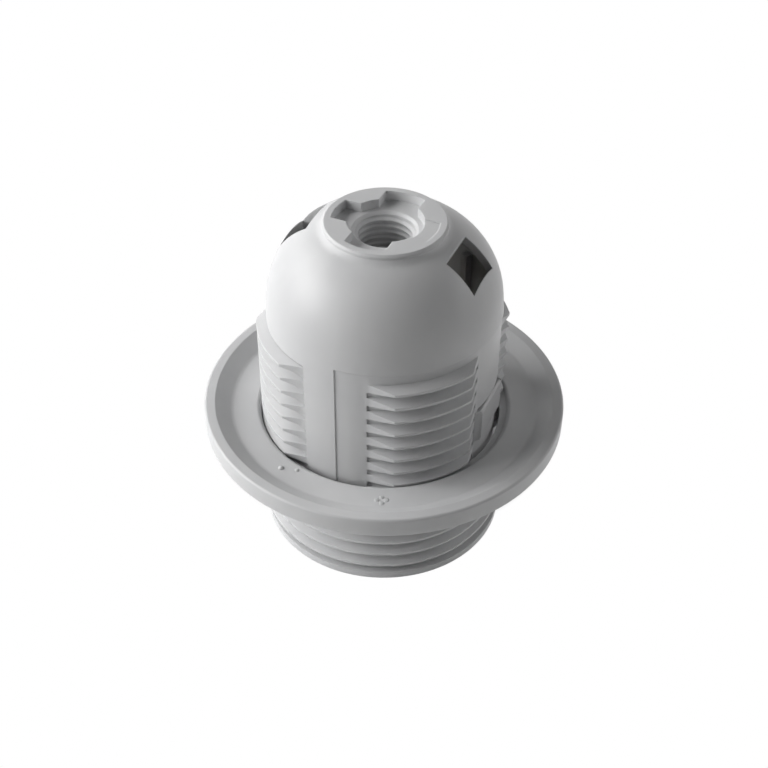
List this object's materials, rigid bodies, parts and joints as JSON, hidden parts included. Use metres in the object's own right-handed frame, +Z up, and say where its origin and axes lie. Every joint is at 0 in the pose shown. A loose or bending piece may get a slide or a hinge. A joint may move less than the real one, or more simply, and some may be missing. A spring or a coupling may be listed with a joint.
{
  "type": "lamp holder",
  "caption": "Plastic screw-cap lamp holder: domed one-piece housing with a threaded entry, part-threaded barrel, screw-on shade ring and snap-in contact insert",
  "frame": {"origin": "centre of the open rim, on the surface the holder stands on", "axes": "+Z up along the barrel and out of the threaded entry; dome and latch windows on +X and -X, parting lines and terminals on +Y and -Y"},
  "size_m": [0.057, 0.057, 0.0547],
  "materials": {
    "shell": "satin moulded",
    "sleeve": "satin moulded",
    "insulator": "matte moulded",
    "brass": "stamped",
    "steel": "zinc plated"
  },
  "bodies": {
    "holder": {"housing": "shell", "lamp_sleeve": "sleeve", "contact_block": "insulator", "centre_rivet": "brass", "side_rivet": "brass", "live_terminal": "brass", "neutral_terminal": "brass"},
    "ring": {"shade_ring": "shell"},
    "centre_contact": {"centre_contact": "brass"},
    "side_contact": {"side_contact": "brass"},
    "live_clamp": {"live_clamp": "steel"},
    "neutral_clamp": {"neutral_clamp": "steel"},
    "live_screw": {"live_screw": "steel"},
    "neutral_screw": {"neutral_screw": "steel"}
  },
  "joints": [
    {"name": "ring_travel", "type": "slide", "parent": "holder", "child": "ring", "axis": [0, 0, 1], "range_m": [-0.0125, 0.0175]},
    {"name": "centre_contact_flex", "type": "hinge", "parent": "holder", "child": "centre_contact", "pos_m": [0, -0.0074, 0.02855], "axis": [1, 0, 0], "range_deg": [0, 10], "stiffness_Nm_per_rad": 0.12, "deforming": ["centre_contact"]},
    {"name": "side_contact_flex", "type": "hinge", "parent": "holder", "child": "side_contact", "pos_m": [0, 0.01215, 0.02855], "axis": [1, 0, 0], "range_deg": [0, 6], "stiffness_Nm_per_rad": 0.08, "deforming": ["side_contact"]},
    {"name": "live_clamp_travel", "type": "slide", "parent": "holder", "child": "live_clamp", "axis": [0, 0, -1], "range_m": [0, 0.0012]},
    {"name": "live_screw_turn", "type": "hinge", "parent": "live_clamp", "child": "live_screw", "pos_m": [0, -0.0049, 0.037], "axis": [0, 0, -1], "range_deg": [0, 860]},
    {"name": "neutral_clamp_travel", "type": "slide", "parent": "holder", "child": "neutral_clamp", "axis": [0, 0, -1], "range_m": [0, 0.0012]},
    {"name": "neutral_screw_turn", "type": "hinge", "parent": "neutral_clamp", "child": "neutral_screw", "pos_m": [0, 0.0049, 0.037], "axis": [0, 0, -1], "range_deg": [0, 860]}
  ]
}
